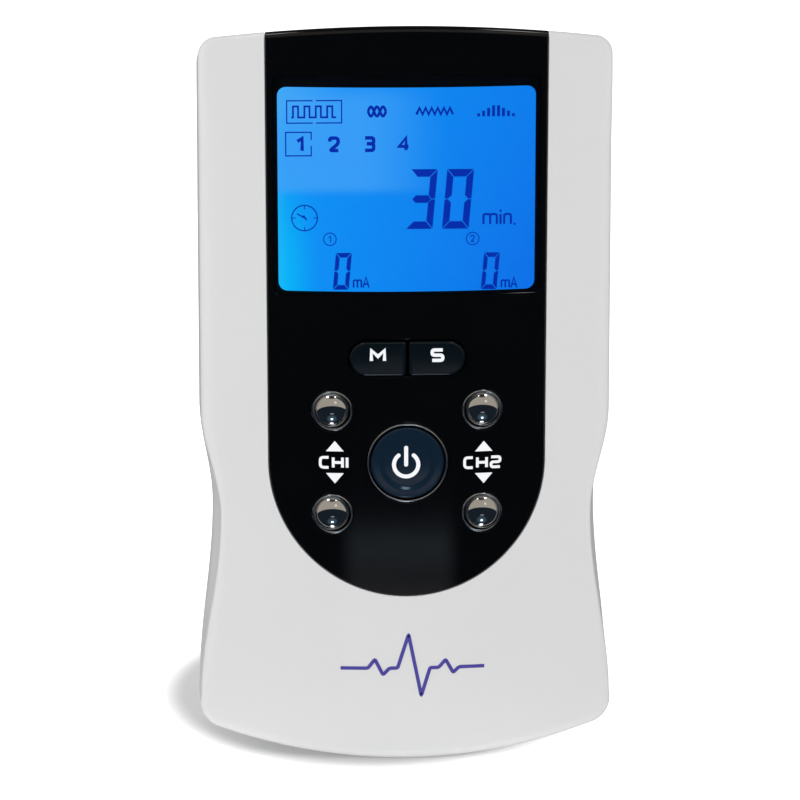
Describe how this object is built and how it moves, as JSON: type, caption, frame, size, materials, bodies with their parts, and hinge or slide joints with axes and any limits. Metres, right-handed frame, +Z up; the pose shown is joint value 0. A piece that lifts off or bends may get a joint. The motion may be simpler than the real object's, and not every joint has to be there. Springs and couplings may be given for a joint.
{
  "type": "tens unit",
  "caption": "Handheld battery-powered nerve stimulator with backlit display, chrome level buttons, power key, waisted grip and belt clip.",
  "frame": {"origin": "middle of the flat foot at the housing's lower end, on which the unit stands upright", "axes": "+X to the right as the display is looked at, -Y out of the front, +Z up the unit's length"},
  "size_m": [0.0724, 0.0278, 0.127],
  "materials": {
    "white_shell": "satin gloss",
    "white_door": "satin gloss",
    "white_clip": "satin gloss",
    "black_gloss": "high gloss",
    "lens": "clear polished",
    "slate_key": "satin gloss",
    "chrome": "polished",
    "black_plastic": "matte",
    "plunger": "matte",
    "green_board": "satin",
    "lcd": "polished",
    "backlight": "satin",
    "zebra": "matte",
    "chip": "matte",
    "ferrite": "matte",
    "can": "brushed",
    "cell_wrap": "gloss",
    "spring_steel": "bright",
    "screw_steel": "satin"
  },
  "bodies": {
    "housing": {"front_shell": "white_shell", "rear_shell": "white_shell", "front_panel": "black_gloss", "display_lens": "lens", "switch_mode": "black_plastic", "switch_set": "black_plastic", "switch_power": "black_plastic", "ring_power": "chrome", "switch_ch1_up": "black_plastic", "ring_ch1_up": "chrome", "switch_ch1_down": "black_plastic", "ring_ch1_down": "chrome", "switch_ch2_up": "black_plastic", "ring_ch2_up": "chrome", "switch_ch2_down": "black_plastic", "ring_ch2_down": "chrome", "main_board": "green_board", "lcd_glass": "lcd", "lcd_backlight": "backlight", "lcd_connector": "zebra", "lcd_frame": "black_plastic", "output_jack_ch1": "black_plastic", "output_jack_ch2": "black_plastic", "dc_jack": "black_plastic", "controller_chip": "chip", "buzzer": "chip", "transformer_ch1": "ferrite", "transformer_ch2": "ferrite", "capacitor": "can", "cell_1": "cell_wrap", "cell_2": "cell_wrap", "cell_3": "cell_wrap", "cell_4": "cell_wrap", "contact_positive": "spring_steel", "contact_link_12": "spring_steel", "contact_link_23": "spring_steel", "contact_link_34": "spring_steel", "contact_negative": "spring_steel", "clip_pin": "spring_steel", "clip_spring": "spring_steel", "screw_1": "screw_steel", "screw_2": "screw_steel", "screw_3": "screw_steel", "screw_4": "screw_steel"},
    "door": {"battery_door": "white_door"},
    "clip": {"belt_clip": "white_clip"},
    "key_mode": {"button_mode": "slate_key", "plunger_mode": "plunger"},
    "key_set": {"button_set": "slate_key", "plunger_set": "plunger"},
    "key_power": {"button_power": "slate_key", "plunger_power": "plunger"},
    "key_ch1_up": {"plunger_ch1_up": "plunger", "button_ch1_up": "chrome"},
    "key_ch1_down": {"plunger_ch1_down": "plunger", "button_ch1_down": "chrome"},
    "key_ch2_up": {"plunger_ch2_up": "plunger", "button_ch2_up": "chrome"},
    "key_ch2_down": {"plunger_ch2_down": "plunger", "button_ch2_down": "chrome"}
  },
  "joints": [
    {"name": "press_mode", "type": "slide", "parent": "housing", "child": "key_mode", "axis": [0, 1, 0], "range_m": [0, 0.0006], "stiffness_N_per_m": 300, "springref_m": -0.001},
    {"name": "press_set", "type": "slide", "parent": "housing", "child": "key_set", "axis": [0, 1, 0], "range_m": [0, 0.0006], "stiffness_N_per_m": 300, "springref_m": -0.001},
    {"name": "press_power", "type": "slide", "parent": "housing", "child": "key_power", "axis": [0, 1, 0], "range_m": [0, 0.0006], "stiffness_N_per_m": 300, "springref_m": -0.001},
    {"name": "press_ch1_up", "type": "slide", "parent": "housing", "child": "key_ch1_up", "axis": [0, 1, 0], "range_m": [0, 0.0006], "stiffness_N_per_m": 300, "springref_m": -0.001},
    {"name": "press_ch1_down", "type": "slide", "parent": "housing", "child": "key_ch1_down", "axis": [0, 1, 0], "range_m": [0, 0.0006], "stiffness_N_per_m": 300, "springref_m": -0.001},
    {"name": "press_ch2_up", "type": "slide", "parent": "housing", "child": "key_ch2_up", "axis": [0, 1, 0], "range_m": [0, 0.0006], "stiffness_N_per_m": 300, "springref_m": -0.001},
    {"name": "press_ch2_down", "type": "slide", "parent": "housing", "child": "key_ch2_down", "axis": [0, 1, 0], "range_m": [0, 0.0006], "stiffness_N_per_m": 300, "springref_m": -0.001},
    {"name": "door_slide", "type": "slide", "parent": "housing", "child": "door", "axis": [0, 0, -1], "range_m": [0, 0.068]},
    {"name": "clip_hinge", "type": "hinge", "parent": "housing", "child": "clip", "pos_m": [0, 0.01, 0.108], "axis": [1, 0, 0], "range_deg": [0, 15], "stiffness_Nm_per_rad": 0.15, "springref_deg": -11.46}
  ]
}
